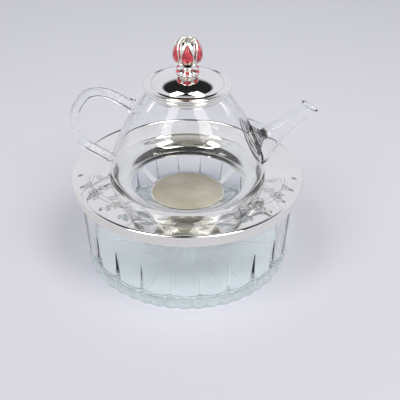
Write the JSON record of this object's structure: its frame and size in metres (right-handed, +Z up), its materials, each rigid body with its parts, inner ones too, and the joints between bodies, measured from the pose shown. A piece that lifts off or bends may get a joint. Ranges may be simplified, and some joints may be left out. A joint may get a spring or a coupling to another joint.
{
  "type": "glass teapot with tea-light warmer",
  "caption": "Blown glass teapot with coil strainer, loop handle and jewelled silver lid, standing on a pressed-glass warmer with a pierced silver plate.",
  "frame": {"origin": "middle of the glass bowl's flat resting face", "axes": "+Z up; +X towards the spout; -X towards the handle; -Y is the side with the pierced garland"},
  "size_m": [0.2456, 0.236, 0.2388],
  "materials": {
    "pressed_glass": "clear, faint blue-green",
    "blown_glass": "clear, thin",
    "silver_plate": "polished, warm",
    "pale_brass": "polished",
    "steel_wire": "bright drawn",
    "red_stone": "polished cabochon"
  },
  "bodies": {
    "glass_bowl": {"glass_bowl": "pressed_glass"},
    "warmer_top": {"warmer_plate": "silver_plate", "border_bead": "silver_plate", "heat_plate": "pale_brass", "arm_front": "silver_plate", "arm_right": "silver_plate", "arm_left": "silver_plate", "rivet_outer_front": "silver_plate", "rivet_outer_right": "silver_plate", "rivet_outer_left": "silver_plate", "rivet_inner_front": "silver_plate", "rivet_inner_right": "silver_plate", "rivet_inner_left": "silver_plate"},
    "teapot": {"pot_body": "blown_glass", "pot_spout": "blown_glass", "pot_handle": "blown_glass", "neck_collar": "silver_plate"},
    "strainer": {"spout_strainer": "steel_wire"},
    "lid": {"lid_dome": "silver_plate", "lid_plug": "silver_plate", "finial_calyx": "silver_plate", "finial_egg": "silver_plate", "finial_screw": "steel_wire", "finial_washer": "steel_wire", "gem_front": "red_stone", "gem_front_right": "red_stone", "gem_back_right": "red_stone", "gem_back": "red_stone", "gem_back_left": "red_stone", "gem_front_left": "red_stone", "bud_gem_front": "red_stone", "bud_gem_front_right": "red_stone", "bud_gem_back_right": "red_stone", "bud_gem_back": "red_stone", "bud_gem_back_left": "red_stone", "bud_gem_front_left": "red_stone"}
  },
  "joints": [
    {"name": "warmer_lift", "type": "slide", "parent": "glass_bowl", "child": "warmer_top", "axis": [0, 0, 1], "range_m": [0, 0.06]},
    {"name": "pot_lift", "type": "slide", "parent": "warmer_top", "child": "teapot", "axis": [0, 0, 1], "range_m": [0, 0.06]},
    {"name": "strainer_pull", "type": "slide", "parent": "teapot", "child": "strainer", "axis": [-0.891, 0, -0.454], "range_m": [0, 0.02]},
    {"name": "lid_lift", "type": "slide", "parent": "teapot", "child": "lid", "axis": [0, 0, 1], "range_m": [0, 0.05]}
  ]
}
